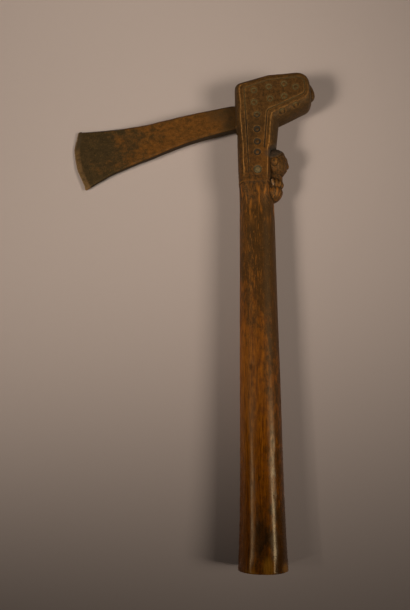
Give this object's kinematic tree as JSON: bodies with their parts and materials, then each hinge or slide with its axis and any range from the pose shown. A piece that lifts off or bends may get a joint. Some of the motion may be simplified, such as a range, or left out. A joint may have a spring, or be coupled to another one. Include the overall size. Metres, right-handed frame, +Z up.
{
  "type": "carved handle axe",
  "caption": "One-handed axe: a flared wooden handle with a pitted, panelled head, a beak and a small carved bust behind the neck, and a forged iron blade that widens to a curved edge.",
  "frame": {"origin": "middle of the lying axe's box, on the ground it lies on", "axes": "+Y along the handle from the butt to the head, +X from the cutting edge to the beak, +Z up from the ground"},
  "size_m": [0.203, 0.3948, 0.0357],
  "materials": {
    "carved_wood": "dark hand-polished hardwood, glossy on the grip, dirt in the carving",
    "forged_iron": "forged iron with brown rust and a dark patina"
  },
  "bodies": {
    "root": {"handle": "carved_wood", "blade": "forged_iron"}
  },
  "joints": []
}
